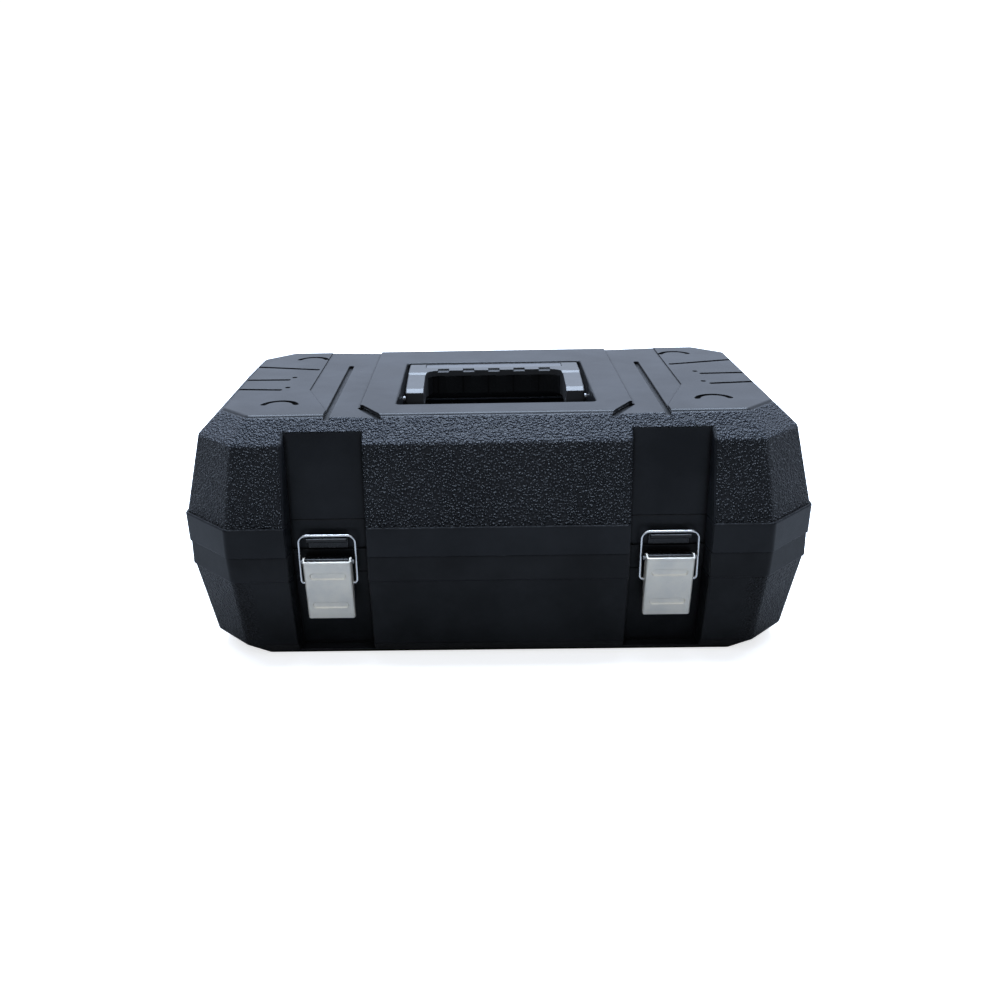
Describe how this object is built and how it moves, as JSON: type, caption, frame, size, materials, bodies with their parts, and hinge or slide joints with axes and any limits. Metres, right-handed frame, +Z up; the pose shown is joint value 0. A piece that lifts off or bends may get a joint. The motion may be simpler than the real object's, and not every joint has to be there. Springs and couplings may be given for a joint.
{
  "type": "toolbox",
  "caption": "Moulded hard toolbox with a hinged lid, two draw latches, a handle that folds flush into the top and a lift-out tray inside.",
  "frame": {"origin": "middle of the flat underside, under the middle of the box", "axes": "+X along the length to the right as seen from the latches, +Y to the hinges, +Z up"},
  "size_m": [0.45, 0.2697, 0.181],
  "materials": {
    "lid_plastic": "pebbled moulded polypropylene, satin on the top face",
    "base_plastic": "pebbled moulded polypropylene",
    "tray_plastic": "fine moulded texture",
    "handle_plastic": "satin moulded nylon",
    "grip_rubber": "soft ribbed rubber",
    "insert_plastic": "smooth plain strip",
    "latch_steel": "bright zinc-plated pressed steel",
    "wire_chrome": "polished wire",
    "pin_steel": "plated steel",
    "black_steel": "gloss black"
  },
  "bodies": {
    "base": {"base_shell": "base_plastic", "left_hinge_pin": "pin_steel", "left_latch_plate": "black_steel", "left_latch_pin": "pin_steel", "left_latch_rivets": "pin_steel", "right_hinge_pin": "pin_steel", "right_latch_plate": "black_steel", "right_latch_pin": "pin_steel", "right_latch_rivets": "pin_steel"},
    "lid": {"lid_shell": "lid_plastic", "left_keeper": "black_steel", "left_keeper_rivets": "black_steel", "left_handle_pin": "pin_steel", "right_keeper": "black_steel", "right_keeper_rivets": "black_steel", "right_handle_pin": "pin_steel"},
    "handle": {"handle_frame": "handle_plastic", "handle_grip": "grip_rubber", "handle_insert": "insert_plastic"},
    "left_lever": {"left_latch_lever": "latch_steel"},
    "left_bail": {"left_latch_bail": "wire_chrome"},
    "right_lever": {"right_latch_lever": "latch_steel"},
    "right_bail": {"right_latch_bail": "wire_chrome"},
    "tray": {"tray_body": "tray_plastic", "tray_bar": "tray_plastic"}
  },
  "joints": [
    {"name": "lid_hinge", "type": "hinge", "parent": "base", "child": "lid", "pos_m": [0, 0.1352, 0.0865], "axis": [-1, 0, 0], "range_deg": [0, 105]},
    {"name": "handle_fold", "type": "hinge", "parent": "lid", "child": "handle", "pos_m": [0, -0.011, 0.1675], "axis": [1, 0, 0], "range_deg": [0, 90]},
    {"name": "tray_lift", "type": "slide", "parent": "base", "child": "tray", "axis": [0, 0, 1], "range_m": [0, 0.05]},
    {"name": "left_lever_swing", "type": "hinge", "parent": "base", "child": "left_lever", "pos_m": [-0.12, -0.121, 0.0803], "axis": [-1, 0, 0], "range_deg": [0, 110]},
    {"name": "left_bail_swing", "type": "hinge", "parent": "left_lever", "child": "left_bail", "pos_m": [-0.12, -0.11819, 0.06292], "axis": [-1, 0, 0], "range_deg": [-121, 0]},
    {"name": "right_lever_swing", "type": "hinge", "parent": "base", "child": "right_lever", "pos_m": [0.12, -0.121, 0.0803], "axis": [-1, 0, 0], "range_deg": [0, 110]},
    {"name": "right_bail_swing", "type": "hinge", "parent": "right_lever", "child": "right_bail", "pos_m": [0.12, -0.11819, 0.06292], "axis": [-1, 0, 0], "range_deg": [-121, 0]}
  ],
  "couplings": [
    {"joint": "left_bail_swing", "follows": "left_lever_swing", "ratio": -1.1},
    {"joint": "right_bail_swing", "follows": "right_lever_swing", "ratio": -1.1}
  ]
}
